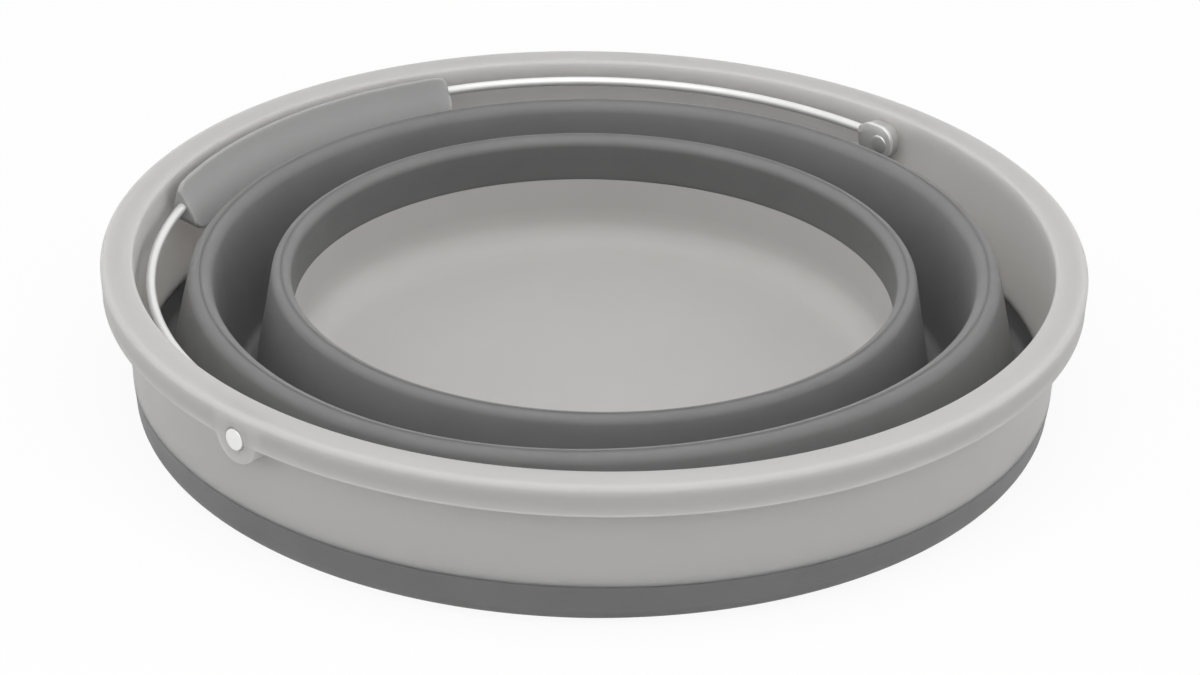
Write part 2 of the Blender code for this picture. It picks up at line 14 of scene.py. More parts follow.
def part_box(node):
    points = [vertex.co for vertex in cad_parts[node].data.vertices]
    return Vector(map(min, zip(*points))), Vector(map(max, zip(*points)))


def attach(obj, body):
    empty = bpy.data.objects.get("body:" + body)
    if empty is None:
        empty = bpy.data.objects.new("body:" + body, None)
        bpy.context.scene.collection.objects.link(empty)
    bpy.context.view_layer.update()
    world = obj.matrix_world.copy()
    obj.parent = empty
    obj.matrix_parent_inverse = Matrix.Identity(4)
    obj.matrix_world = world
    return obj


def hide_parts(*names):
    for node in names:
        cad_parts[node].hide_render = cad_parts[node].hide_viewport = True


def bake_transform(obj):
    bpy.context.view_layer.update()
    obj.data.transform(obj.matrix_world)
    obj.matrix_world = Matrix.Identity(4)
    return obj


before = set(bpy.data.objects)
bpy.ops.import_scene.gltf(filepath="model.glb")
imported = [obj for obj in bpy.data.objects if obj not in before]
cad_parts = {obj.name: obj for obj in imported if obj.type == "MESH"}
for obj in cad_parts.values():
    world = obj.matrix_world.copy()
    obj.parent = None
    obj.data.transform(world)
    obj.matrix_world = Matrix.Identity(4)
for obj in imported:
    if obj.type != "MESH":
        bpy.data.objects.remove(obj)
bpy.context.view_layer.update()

MM = 0.001

# Heights and widths read from the frame
RIM_LOW, RIM_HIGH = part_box("rim_ring")
OUTER_FOLD_LOW, OUTER_FOLD_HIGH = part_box("bellows_outer_fold")
INNER_FOLD_LOW, INNER_FOLD_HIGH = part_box("bellows_inner_fold")
DISH_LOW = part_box("base_dish")[0]
RIM_TOP = RIM_HIGH.z
LIP_RADIUS = (RIM_HIGH.x - RIM_LOW.x) / 2.0

# Rim ring
LIP_WIDTH = 10.8 * MM
MOUTH_RADIUS = LIP_RADIUS - LIP_WIDTH
LIP_EDGE_RADIUS = 2.0 * MM
LIP_SKIRT_DEPTH = 10.8 * MM
LIP_SKIRT_TAPER = 0.6 * MM
LIP_THICKNESS = 2.4 * MM
SKIRT_THICKNESS = 2.0 * MM
SKIRT_EDGE = 0.35 * MM
SKIRT_BEAD = 0.1 * MM
BEAD_TOP = 2.2 * SKIRT_EDGE
BEAD_FULL = 1.6 * SKIRT_EDGE
CHANNEL_CORNER = 1.0 * MM
MOUTH_EDGE_RADIUS = 1.1 * MM
RIM_WALL_THICKNESS = 3.4 * MM
RIM_WALL_DRAFT = 2.4 * MM
RIM_FOOT_RADIUS = MOUTH_RADIUS - RIM_WALL_DRAFT
SEAM_EDGE = 0.12 * MM

# Bellows
BELLOWS_THICKNESS = 2.8 * MM
OUTER_FOLD_RADIUS = 147.9 * MM
OUTER_CREST_RADIUS = 131.9 * MM
INNER_FOLD_RADIUS = 117.8 * MM
INNER_CREST_RADIUS = 104.9 * MM
OUTER_FOLD_BEND = 4.7 * MM
OUTER_CREST_BEND = 2.8 * MM
INNER_FOLD_BEND = 4.7 * MM
INNER_CREST_BEND = 2.0 * MM
OUTER_BAND_RISE = 7.9 * MM
BASE_BAND_DROP = 12.6 * MM
HINGE_FLAT = 0.03 * MM

# Crooked lie of the folded bellows: how far it goes, and where it starts and ends
FOLD_SLOPE = 1.63 * MM
CREST_TWIST = 1.4 * MM
LEVEL_EDGE_WIDTH = 4.0 * MM
SLOPE_START_RADIUS = INNER_CREST_RADIUS + 3.5 * MM
TWIST_START_SHARE = 0.4
TWIST_SPAN_SHARE = 0.5
LEAST_HEIGHT = 0.02 * MM

# Base dish
BASE_RADIUS = 103.8 * MM
DISH_WALL_THICKNESS = 2.8 * MM
DISH_WALL_DRAFT = 0.9 * MM
DISH_FLOOR_HEIGHT = DISH_LOW.z + 9.2 * MM
DISH_FLOOR_THICKNESS = 2.5 * MM
DISH_FLOOR_CROWN = 0.5 * MM
DISH_FILLET_RADIUS = 10.0 * MM
FOOT_WIDTH = 4.6 * MM
FOOT_EDGE_RADIUS = 4.0 * MM
FOOT_DRAFT = 1.6 * MM
FOOT_INNER_SLOPE = 1.2 * MM
FOOT_CORNER = 0.6 * MM
GATE_RADIUS = 8.0 * MM
GATE_DEPTH = 0.8 * MM

# Handle pivots
PIVOT_AZIMUTH = math.radians(47.3)
PIVOT_DEPTH = 10.0 * MM
PIVOT_HEIGHT = RIM_TOP - PIVOT_DEPTH
LOBE_RADIUS = 8.6 * MM
LOBE_FILLET_RADIUS = 2.4 * MM
LOBE_EDGE = 0.4 * MM
LOBE_EDGE_TURN = 15
LOBE_OVERLAP = 0.5 * MM
LOBE_TOP_MARGIN = 0.4 * MM
LOBE_INSET = 0.04 * MM
PAD_HALF_WIDTH = 7.2 * MM
PAD_HALF_HEIGHT = 6.2 * MM
PAD_CORNER_RADIUS = 5.4 * MM
PAD_SHIFT = 2.4 * MM
PAD_HEIGHT = 3.3 * MM
PAD_EDGE = 0.5 * MM
SHANK_RADIUS = 2.0 * MM
OUTER_HEAD_RADIUS = 3.65 * MM
OUTER_HEAD_THICKNESS = 1.4 * MM
OUTER_HEAD_EDGE = 0.45 * MM
COUNTERBORE_RADIUS = 4.3 * MM
COUNTERBORE_DEPTH = 0.9 * MM
COUNTERBORE_CUT_REACH = 5.0 * MM
INNER_HEAD_RADIUS = 3.3 * MM
INNER_HEAD_THICKNESS = 0.6 * MM
INNER_HEAD_GAP = 0.05 * MM

# Bail handle
WIRE_RADIUS = 1.65 * MM
BAIL_TILT = math.radians(0.45)
BAIL_OFFSET = 1.9 * MM
BAIL_LEAN = 1.5 * MM
BAIL_TWIST = 0.9 * MM
PADDLE_THICKNESS = 1.8 * MM
PADDLE_HALF_LENGTH = 7.6 * MM
PADDLE_HALF_HEIGHT = 6.2 * MM
PADDLE_CORNER_RADIUS = 5.6 * MM
PADDLE_EDGE = 0.4 * MM
PADDLE_SHIFT = 2.2 * MM
PADDLE_RISE = 0.5 * MM
FRONT_PADDLE_DROP = 1.5 * MM
EYE_RADIUS = 2.3 * MM
EYE_CUT_REACH = 3.0 * MM
FIT_GAP = 0.3 * MM
PRESS_RADIUS = 8.4 * MM
GRIP_LENGTH = 134.5 * MM
GRIP_SHIFT = 0.8 * MM
GRIP_FACE = 6.0 * MM
GRIP_BACK = 3.4 * MM
GRIP_TOP_SET_BACK = 0.9 * MM
GRIP_BELOW_RIM_TOP = 0.25 * MM
GRIP_BELOW_WIRE = 10.4 * MM
GRIP_EDGE_RADIUS = 0.9 * MM
GRIP_BACK_BEVEL = 3.4 * MM
GRIP_END_ROUND = 3.0 * MM
GRIP_END_TRIM = 0.6 * MM
GRIP_TOP_CORNER = 5.0 * MM
GRIP_TOP_CORNER_DROP = 3.0 * MM
GRIP_LOWER_CORNER_LENGTH = 12.0 * MM
GRIP_LOWER_CORNER_HEIGHT = 6.0 * MM
GRIP_FOOT_ANGLE = -125
GRIP_TOP_ANGLE = 170
GRIP_BEVEL_ANGLE = 235

# Colours, from the darker to the lighter of each cloudy pair
RING_DARK = (0.573, 0.561, 0.549)
RING_LIGHT = (0.588, 0.575, 0.563)
DISH_DARK = (0.555, 0.543, 0.531)
DISH_LIGHT = (0.570, 0.557, 0.545)
GRIP_DARK = (0.371, 0.371, 0.370)
GRIP_LIGHT = (0.385, 0.385, 0.384)
RUBBER_DARK = (0.218, 0.218, 0.218)
RUBBER_LIGHT = (0.234, 0.234, 0.234)
STEEL_DARK = (0.80, 0.80, 0.79)
STEEL_LIGHT = (0.90, 0.90, 0.89)

# Painted light and shade: the colour is multiplied by a factor that runs between two (height,
# factor) pairs
# Painted shade: the dish's wall is darker towards its top
DISH_PAINTED_SHADE = ((DISH_FLOOR_HEIGHT + 6.0 * MM, 1.0), (DISH_FLOOR_HEIGHT + 14.0 * MM, 0.86))
# Painted light: the grip is lighter towards its lower edge
GRIP_PAINTED_LIGHT = ((RIM_TOP - 18.0 * MM, 1.38), (RIM_TOP - 2.0 * MM, 1.0))
# Painted shade: the inside of the band above the dish is darker below the inner crest's roll
ROLL_PAINTED_SHADE_DEPTH = 2.4 * MM
ROLL_PAINTED_SHADE_FACTOR = 0.62

# Range that a noise pattern mostly covers
NOISE_LOW = 0.3
NOISE_HIGH = 0.7

# Light
SKY_SIDES = 1.26
SKY_ZENITH = 0.44
SKY_FRONT = 0.47
TOP_POWER = 4.8
TOP_PLACE = (0.0, -0.28, 1.5)
TOP_SIZE = 0.7
FRONT_POWER = 3.6
FRONT_PLACE = (0.0, -0.95, 1.15)
FRONT_SIZE = 0.9

# Floor
FLOOR_GREY = 0.60
FLOOR_WHITE = 0.98
FLOOR_SEEN_SHARE = 0.92
FLOOR_REACH = 4.0
FLOOR_DROP = 0.1 * MM

# Mesh fineness
TURN_STEPS = 240
ARC_STEP = 9.0
LONGEST_STRETCH = 3.0 * MM
SHARP_ANGLE = math.radians(35.0)
WELD_DISTANCE = 0.0005 * MM
LEAST_EDGE = 0.0001 * MM
CIRCLE_STEPS = 64
EYE_STEPS = 40
WIRE_STEPS = 260
WIRE_SIDES = 28
GRIP_STEPS = 120
GRIP_EDGE_STEPS = 14
HEAD_DOME_STEPS = 12
HEAD_EDGE_STEPS = 5


def points_on_arc(centre, radius, start, end, steps=None):
    """Points on an arc from one angle to another, in degrees."""
    if steps is None:
        steps = max(2, math.ceil(abs(end - start) / ARC_STEP))
    points = []
    for step in range(steps + 1):
        angle = math.radians(start + (end - start) * step / steps)
        across = centre[0] + radius * math.cos(angle)
        points.append((across, centre[1] + radius * math.sin(angle)))
    return points


def divided(outline, closed=True):
    """The outline with its long stretches divided, so that shading stays even."""
    result = []
    ends = outline[1:] + outline[:1] if closed else outline[1:]
    for first, second in zip(outline, ends):
        length = math.dist(first, second)
        count = max(1, math.ceil(length / LONGEST_STRETCH))
        for step in range(count):
            share = step / count
            result.append(tuple(a + (b - a) * share for a, b in zip(first, second)))
    if not closed:
        result.append(outline[-1])
    return result


def smooth_shading(mesh):
    """Smooth shading, with sharp edges where faces meet at more than a set angle."""
    mesh.shade_smooth()
    mesh.set_sharp_from_angle(angle=SHARP_ANGLE)


def make_piece(name, vertices, faces, material):
    """Closed mesh object with outward faces and smooth shading up to an angle."""
    mesh = bpy.data.meshes.new(name)
    mesh.from_pydata([Vector(vertex) for vertex in vertices], [], faces)
    shape = bmesh.new()
    shape.from_mesh(mesh)
    bmesh.ops.recalc_face_normals(shape, faces=shape.faces)
    shape.to_mesh(mesh)
    shape.free()
    smooth_shading(mesh)
    if material is not None:
        mesh.materials.append(material)
    piece = bpy.data.objects.new(name, mesh)
    bpy.context.collection.objects.link(piece)
    return piece


def turned(name, outline, material, place=None):
    """Turn a closed outline once round the axis, or a half outline that ends on the axis.

    place(radius, azimuth, height) may give a point of the turned shape another height.
    """
    solid = outline[0][0] < 1e-9
    ring = divided(outline, closed=not solid)
    vertices = []
    faces = []
    count = len(ring)
    for step in range(TURN_STEPS):
        azimuth = 2.0 * math.pi * step / TURN_STEPS
        for radius, height in ring:
            if place is not None:
                height = place(radius, azimuth, height)
            vertices.append((radius * math.cos(azimuth), radius * math.sin(azimuth), height))
    last = count - 1 if solid else count
    for step in range(TURN_STEPS):
        this = step * count
        following = ((step + 1) % TURN_STEPS) * count
        for i in range(last):
            j = (i + 1) % count
            faces.append((this + i, this + j, following + j, following + i))
    piece = make_piece(name, vertices, faces, material)
    if solid:
        weld(piece)
    return piece


def weld(piece):
    """Join points that lie on each other and drop faces without an area."""
    shape = bmesh.new()
    shape.from_mesh(piece.data)
    bmesh.ops.remove_doubles(shape, verts=shape.verts, dist=WELD_DISTANCE)
    bmesh.ops.dissolve_degenerate(shape, edges=shape.edges, dist=LEAST_EDGE)
    bmesh.ops.recalc_face_normals(shape, faces=shape.faces)
    shape.to_mesh(piece.data)
    shape.free()
    smooth_shading(piece.data)


def loft(name, sections, material):
    """Skin a row of closed sections that have the same number of points, and cap its ends."""
    vertices = [point for section in sections for point in section]
    size = len(sections[0])
    faces = []
    for row in range(len(sections) - 1):
        this = row * size
        following = this + size
        for i in range(size):
            j = (i + 1) % size
            faces.append((this + i, this + j, following + j, following + i))
    faces.append(tuple(range(size)))
    faces.append(tuple(range((len(sections) - 1) * size, len(sections) * size)))
    return make_piece(name, vertices, faces, material)


def apply_boolean(piece, tool, operation):
    """Combine a piece with a tool mesh for good, and drop the tool."""
    modifier = piece.modifiers.new("cut", "BOOLEAN")
    modifier.operation = operation
    modifier.solver = "EXACT"
    modifier.object = tool
    bpy.context.view_layer.update()
    evaluated = piece.evaluated_get(bpy.context.evaluated_depsgraph_get())
    mesh = bpy.data.meshes.new_from_object(evaluated)
    piece.modifiers.clear()
    old = piece.data
    piece.data = mesh
    bpy.data.meshes.remove(old)
    bpy.data.objects.remove(tool, do_unlink=True)
    smooth_shading(piece.data)


def rounded_box(half_width, half_height, radius, steps=6):
    """Rounded rectangle round the origin, anticlockwise."""
    outline = []
    for quarter in range(4):
        centre_x = (half_width - radius) * (1 if quarter in (0, 3) else -1)
        centre_y = (half_height - radius) * (1 if quarter in (0, 1) else -1)
        for step in range(steps + 1):
            angle = math.radians(90.0) * (quarter + step / steps)
            across = centre_x + radius * math.cos(angle)
            outline.append((across, centre_y + radius * math.sin(angle)))
    return outline


def circle(radius, steps=CIRCLE_STEPS):
    turns = [2.0 * math.pi * i / steps for i in range(steps)]
    return [(radius * math.cos(turn), radius * math.sin(turn)) for turn in turns]


def shrunk(outline, distance):
    """A closed anticlockwise outline moved inwards by a small distance."""
    result = []
    count = len(outline)
    for i in range(count):
        before = Vector(outline[i - 1])
        here = Vector(outline[i])
        after = Vector(outline[(i + 1) % count])
        first = (here - before).normalized()
        second = (after - here).normalized()
        normal = Vector((-(first.y + second.y), first.x + second.x)).normalized()
        result.append(tuple(here + normal * distance))
    return result


def pivot_matrix(side):
    """Frame of one pivot: +X outwards along the pivots' line, +Z up. Side is +1 at the back."""
    turn = PIVOT_AZIMUTH if side > 0 else PIVOT_AZIMUTH + math.pi
    return Matrix.Translation((0.0, 0.0, PIVOT_HEIGHT)) @ Matrix.Rotation(turn, 4, "Z")


def bail_matrix():
    """Frame of the bail: +X along the pivots' line to the back, +Y towards the grip."""
    turn = Matrix.Rotation(PIVOT_AZIMUTH, 4, "Z") @ Matrix.Rotation(BAIL_TILT, 4, "X")
    return Matrix.Translation((0.0, 0.0, PIVOT_HEIGHT)) @ turn


def plate(name, outline, stations, material, matrix):
    """Prism of an outline of (sideways, up) points, square to the local X axis.

    Each station is (distance along X, how far the outline is drawn in there).
    """
    sections = []
    for distance, inset in stations:
        drawn = shrunk(outline, inset) if inset else outline
        sections.append([matrix @ Vector((distance, y, z)) for y, z in drawn])
    return loft(name, sections, material)


# Materials


def new_material(name):
    material = bpy.data.materials.new(name)
    material.use_nodes = True
    return material, material.node_tree, material.node_tree.nodes["Principled BSDF"]


def noise_node(tree, vector, scale, detail=2.0, roughness=0.5):
    """Noise pattern in three dimensions."""
    node = tree.nodes.new("ShaderNodeTexNoise")
    node.inputs["Scale"].default_value = scale
    node.inputs["Detail"].default_value = detail
    node.inputs["Roughness"].default_value = roughness
    tree.links.new(vector, node.inputs["Vector"])
    return node.outputs["Fac"]


def ramp(tree, value, low, high, to_low, to_high):
    """Map a value's range on to another range."""
    node = tree.nodes.new("ShaderNodeMapRange")
    node.inputs["From Min"].default_value = low
    node.inputs["From Max"].default_value = high
    node.inputs["To Min"].default_value = to_low
    node.inputs["To Max"].default_value = to_high
    tree.links.new(value, node.inputs["Value"])
    return node.outputs["Result"]


def mixed_color(tree, factor, first, second):
    """Colour that runs from the first to the second with a factor."""
    node = tree.nodes.new("ShaderNodeMix")
    node.data_type = "RGBA"
    tree.links.new(factor, node.inputs["Factor"])
    colors = [socket for socket in node.inputs if socket.type == "RGBA"]
    colors[0].default_value = (*first, 1.0)
    colors[1].default_value = (*second, 1.0)
    return next(socket for socket in node.outputs if socket.type == "RGBA")


def cloudy_color(tree, cloud, dark, light):
    """Colour that varies softly between a dark and a light one with a noise pattern."""
    return mixed_color(tree, ramp(tree, cloud, NOISE_LOW, NOISE_HIGH, 0.0, 1.0), dark, light)


def vary_roughness(tree, shader, pattern, low, high):
    value = ramp(tree, pattern, NOISE_LOW, NOISE_HIGH, low, high)
    tree.links.new(value, shader.inputs["Roughness"])


def bump(tree, shader, height, strength, distance, below=None):
    """Fine relief on a shader, on top of another relief if one is given."""
    node = tree.nodes.new("ShaderNodeBump")
    node.inputs["Strength"].default_value = strength
    node.inputs["Distance"].default_value = distance
    tree.links.new(height, node.inputs["Height"])
    if below is not None:
        tree.links.new(below, node.inputs["Normal"])
    tree.links.new(node.outputs["Normal"], shader.inputs["Normal"])
    return node.outputs["Normal"]


def object_coordinates(tree):
    return tree.nodes.new("ShaderNodeTexCoord").outputs["Object"]


def painted_light_and_shade_by_height(tree, place, color, low, high):
    """Colour multiplied by a factor that runs from one (height, factor) pair to another: painted
    light and shade.
    """
    parts = tree.nodes.new("ShaderNodeSeparateXYZ")
    tree.links.new(place, parts.inputs["Vector"])
    factor = ramp(tree, parts.outputs["Z"], low[0], high[0], low[1], high[1])
    scaled = tree.nodes.new("ShaderNodeVectorMath")
    scaled.operation = "SCALE"
    tree.links.new(color, scaled.inputs["Vector"])
    tree.links.new(factor, scaled.inputs["Scale"])
    return scaled.outputs["Vector"]


def moulded_plastic(name, dark, light, roughness, glow_depth, painted_shading=None):
    """Satin moulded plastic: fine spark texture, soft cloudiness, light passing into thin walls,
    and painted light and shade with height where given.
    """
    material, tree, shader = new_material(name)
    place = object_coordinates(tree)
    cloud = noise_node(tree, place, scale=22.0, detail=3.0, roughness=0.55)
    color = cloudy_color(tree, cloud, dark, light)
    # Painted light and shade: colour lighter or darker with height
    if painted_shading:
        color = painted_light_and_shade_by_height(tree, place, color, *painted_shading)
    tree.links.new(color, shader.inputs["Base Color"])
    patch = noise_node(tree, place, scale=65.0, detail=4.0, roughness=0.6)
    vary_roughness(tree, shader, patch, roughness - 0.05, roughness + 0.05)
    grain = noise_node(tree, place, scale=1400.0, detail=2.0, roughness=0.6)
    fine = bump(tree, shader, grain, strength=0.35, distance=0.02 * MM)
    wave = noise_node(tree, place, scale=14.0, detail=1.0)
    bump(tree, shader, wave, strength=0.25, distance=0.25 * MM, below=fine)
    shader.inputs["Specular IOR Level"].default_value = 0.32
    shader.inputs["Subsurface Weight"].default_value = 1.0
    shader.inputs["Subsurface Radius"].default_value = (1.0, 0.97, 0.94)
    shader.inputs["Subsurface Scale"].default_value = glow_depth
    return material


def rubber(name, painted_shading=None):
    """Soft dark grey rubbery plastic: matt and finely textured, with some light passing in, and
    painted shade with height where given.
    """
    material, tree, shader = new_material(name)
    place = object_coordinates(tree)
    cloud = noise_node(tree, place, scale=35.0, detail=4.0, roughness=0.6)
    color = cloudy_color(tree, cloud, RUBBER_DARK, RUBBER_LIGHT)
    # Painted shade: colour darker with height
    if painted_shading:
        color = painted_light_and_shade_by_height(tree, place, color, *painted_shading)
    tree.links.new(color, shader.inputs["Base Color"])
    patch = noise_node(tree, place, scale=90.0, detail=3.0, roughness=0.6)
    vary_roughness(tree, shader, patch, 0.56, 0.66)
    grain = noise_node(tree, place, scale=1100.0, detail=3.0, roughness=0.65)
    bump(tree, shader, grain, strength=0.4, distance=0.03 * MM)
    shader.inputs["Specular IOR Level"].default_value = 0.4
    shader.inputs["Subsurface Weight"].default_value = 1.0
    shader.inputs["Subsurface Radius"].default_value = (1.0, 1.0, 1.0)
    shader.inputs["Subsurface Scale"].default_value = 9.0 * MM
    return material


def steel(name, roughness, streak_scale, metallic):
    """Bright steel with fine streaks."""
    material, tree, shader = new_material(name)
    place = object_coordinates(tree)
    cloud = noise_node(tree, place, scale=streak_scale, detail=4.0, roughness=0.6)
    color = mixed_color(tree, cloud, STEEL_DARK, STEEL_LIGHT)
    tree.links.new(color, shader.inputs["Base Color"])
    vary_roughness(tree, shader, cloud, roughness - 0.04, roughness + 0.05)
    grain = noise_node(tree, place, scale=6.0 * streak_scale, detail=2.0)
    bump(tree, shader, grain, strength=0.15, distance=0.01 * MM)
    shader.inputs["Metallic"].default_value = metallic
    return material


ring_grey = moulded_plastic(
    "ring_light_grey", RING_DARK, RING_LIGHT, roughness=0.58, glow_depth=17.0 * MM
)
# Painted shade on the dish: its wall is darker towards its top
dish_grey_painted_shade = moulded_plastic(
    "dish_light_grey_painted_shade",
    DISH_DARK,
    DISH_LIGHT,
    roughness=0.46,
    glow_depth=2.0 * MM,
    painted_shading=DISH_PAINTED_SHADE,
)
# Painted light on the grip: lighter towards its lower edge
grip_grey_painted_light = moulded_plastic(
    "moulded_grip_grey_painted_light",
    GRIP_DARK,
    GRIP_LIGHT,
    roughness=0.60,
    glow_depth=4.0 * MM,
    painted_shading=GRIP_PAINTED_LIGHT,
)
bright_wire = steel("drawn_steel_wire", roughness=0.32, streak_scale=160.0, metallic=0.35)
pressed_steel = steel("pressed_steel_paddle", roughness=0.34, streak_scale=160.0, metallic=0.52)
bright_rivet = steel("turned_steel_rivet", roughness=0.32, streak_scale=240.0, metallic=0.7)


# Rim ring


def rim_outline():
    """Outline of the ring: mouth, lip, skirt, the channel behind it, and the wall's foot."""
    top = RIM_TOP
    foot = rim_foot_height()
    foot_outer = RIM_FOOT_RADIUS + RIM_WALL_THICKNESS
    skirt_foot = LIP_RADIUS - LIP_SKIRT_TAPER
    skirt_bottom = top - LIP_SKIRT_DEPTH
    ceiling = top - LIP_THICKNESS
    channel_outer = LIP_RADIUS - SKIRT_THICKNESS
    channel_inner = MOUTH_RADIUS + RIM_WALL_THICKNESS
    corner = CHANNEL_CORNER
    edge = SKIRT_EDGE
    mouth_centre = (MOUTH_RADIUS + MOUTH_EDGE_RADIUS, top - MOUTH_EDGE_RADIUS)
    lip_centre = (LIP_RADIUS - LIP_EDGE_RADIUS, top - LIP_EDGE_RADIUS)
    skirt_outer_centre = (skirt_foot + SKIRT_BEAD - edge, skirt_bottom + edge)
    skirt_inner_centre = (skirt_foot - SKIRT_THICKNESS + edge, skirt_bottom + edge)
    outline = [(RIM_FOOT_RADIUS, foot + SEAM_EDGE)]
    outline += points_on_arc(mouth_centre, MOUTH_EDGE_RADIUS, 180, 90)
    outline += points_on_arc(lip_centre, LIP_EDGE_RADIUS, 90, 0)
    outline += [(skirt_foot, skirt_bottom + BEAD_TOP)]
    outline += [(skirt_foot + SKIRT_BEAD, skirt_bottom + BEAD_FULL)]
    outline += points_on_arc(skirt_outer_centre, edge, 0, -90)
    outline += points_on_arc(skirt_inner_centre, edge, -90, -180)
    outline += [(channel_outer, ceiling - corner)]
    outline += points_on_arc((channel_outer - corner, ceiling - corner), corner, 0, 90)
    outline += points_on_arc((channel_inner + corner, ceiling - corner), corner, 90, 180)
    outline += [(foot_outer, foot + SEAM_EDGE), (foot_outer - SEAM_EDGE, foot)]
    outline += [(RIM_FOOT_RADIUS + SEAM_EDGE, foot)]
    return outline


def rim_wall_radius(height):
    """Inner radius of the rim's drafted wall at a height."""
    top = RIM_TOP - MOUTH_EDGE_RADIUS
    foot = rim_foot_height()
    return MOUTH_RADIUS - (MOUTH_RADIUS - RIM_FOOT_RADIUS) * (top - height) / (top - foot)


def rim_foot_height():
    """Height of the seam between the ring and the bellows."""
    return OUTER_FOLD_LOW.z + BELLOWS_THICKNESS / 2.0 + OUTER_FOLD_BEND + OUTER_BAND_RISE


def skirt_radius(height):
    """Outer radius of the tapered skirt, carried on below its edge."""
    drop = RIM_TOP - LIP_EDGE_RADIUS - height
    return LIP_RADIUS - LIP_SKIRT_TAPER * max(0.0, drop) / (LIP_SKIRT_DEPTH - LIP_EDGE_RADIUS)


def lobe_low_points():
    """Lower edge of the lobe as (sideways, up) points: a bowl between two fillets."""
    edge = RIM_TOP - LIP_SKIRT_DEPTH - PIVOT_HEIGHT + LOBE_OVERLAP
    fillet = LOBE_FILLET_RADIUS
    fillet_height = edge - fillet
    fillet_side = math.sqrt((LOBE_RADIUS + fillet) ** 2 - fillet_height**2)
    touch = math.degrees(math.atan2(fillet_height, fillet_side))
    left = points_on_arc((-fillet_side, fillet_height), fillet, 90, -touch)
    bowl = points_on_arc((0.0, 0.0), LOBE_RADIUS, -180 - touch, touch)[1:-1]
    right = [(-y, z) for y, z in reversed(left)]
    return left + bowl + right


def make_lobe(matrix, back):
    """Lobe below the skirt, curved round the bucket as the skirt is, with a small rounded edge."""
    top = RIM_TOP - PIVOT_HEIGHT - LIP_EDGE_RADIUS - LOBE_TOP_MARGIN
    sections = []
    for y, low in lobe_low_points():
        column = [(back, top), (back, low)]
        for turn in range(90, -1, -LOBE_EDGE_TURN):
            angle = math.radians(turn)
            height = low + LOBE_EDGE * (1.0 - math.sin(angle))
            drawn_in = LOBE_INSET + LOBE_EDGE * (1.0 - math.cos(angle))
            reach = skirt_radius(PIVOT_HEIGHT + height) - drawn_in
            column.append((math.sqrt(reach**2 - y**2), height))
        for share in (0.25, 0.5, 0.75, 1.0):
            height = low + LOBE_EDGE + (top - low - LOBE_EDGE) * share
            reach = skirt_radius(PIVOT_HEIGHT + height) - LOBE_INSET
            column.append((math.sqrt(reach**2 - y**2), height))
        sections.append([matrix @ Vector((x, y, z)) for x, z in column])
    lobe = loft("lobe", sections, None)
    shape = bmesh.new()
    shape.from_mesh(lobe.data)
    bmesh.ops.triangulate(shape, faces=shape.faces)
    shape.to_mesh(lobe.data)
    shape.free()
    return lobe


def make_rim():
    """Ring with a lobe, a counterbore and an inner pad at each pivot."""
    ring = turned("rim_shell", rim_outline(), ring_grey)
    face = LIP_RADIUS - LIP_SKIRT_TAPER - LOBE_INSET
    wall = rim_wall_radius(PIVOT_HEIGHT)
    inside_wall = wall + RIM_WALL_THICKNESS / 2.0
    pad = wall - PAD_HEIGHT
    for side in (1, -1):
        matrix = pivot_matrix(side)
        apply_boolean(ring, make_lobe(matrix, inside_wall), "UNION")
        box = rounded_box(PAD_HALF_WIDTH, PAD_HALF_HEIGHT, PAD_CORNER_RADIUS)
        shifted = [(y + side * PAD_SHIFT, z) for y, z in box]
        pad_stations = [(pad, PAD_EDGE), (pad + PAD_EDGE, 0), (inside_wall, 0)]
        boss = plate("pad", shifted, pad_stations, None, matrix)
        apply_boolean(ring, boss, "UNION")
        cut_stations = [(face - COUNTERBORE_DEPTH, 0), (LIP_RADIUS + COUNTERBORE_CUT_REACH, 0)]
        recess = plate("recess", circle(COUNTERBORE_RADIUS), cut_stations, None, matrix)
        apply_boolean(ring, recess, "DIFFERENCE")
    return ring


# Bellows


def fold_hinge(radius, low, bend):
    """Radius, centre height and middle-line bend of a fold above its lowest point."""
    return (radius, low + BELLOWS_THICKNESS / 2.0 + bend, bend)


def crest_hinge(radius, high, bend):
    """The same for a crest below its highest point."""
    return (radius, high - BELLOWS_THICKNESS / 2.0 - bend, bend)


OUTER_FOLD = fold_hinge(OUTER_FOLD_RADIUS, OUTER_FOLD_LOW.z, OUTER_FOLD_BEND)
OUTER_CREST = crest_hinge(OUTER_CREST_RADIUS, OUTER_FOLD_HIGH.z, OUTER_CREST_BEND)
INNER_FOLD = fold_hinge(INNER_FOLD_RADIUS, INNER_FOLD_LOW.z, INNER_FOLD_BEND)
INNER_CREST = crest_hinge(INNER_CREST_RADIUS, INNER_FOLD_HIGH.z, INNER_CREST_BEND)


def sloping_wall(crest, fold):
    """Outline of a bellows wall from the top of a crest to the bottom of a fold.

    A short level stretch at both ends lets it run on evenly into the next wall.
    """
    half = BELLOWS_THICKNESS / 2.0
    side = 1 if fold[0] > crest[0] else -1
    across = math.hypot(fold[0] - crest[0], fold[1] - crest[1])
    towards = math.atan2(fold[1] - crest[1], fold[0] - crest[0])
    lean = math.acos((fold[2] + crest[2]) / across)
    normal = math.degrees(towards + side * lean) % 360.0
    fold_start = (normal + 180.0) % 360.0
    flat = side * HINGE_FLAT
    crest_top = (crest[0] + flat, crest[1])
    fold_low = (fold[0] - flat, fold[1])
    upper = [(crest[0], crest[1] + crest[2] + half)]
    upper += points_on_arc(crest_top, crest[2] + half, 90, normal)
    upper += points_on_arc(fold_low, fold[2] - half, fold_start, 270)
    upper += [(fold[0], fold[1] - fold[2] + half)]
    lower = [(fold[0], fold[1] - fold[2] - half)]
    lower += points_on_arc(fold_low, fold[2] + half, 270, fold_start)
    lower += points_on_arc(crest_top, crest[2] - half, normal, 90)
    lower += [(crest[0], crest[1] + crest[2] - half)]
    return upper + lower


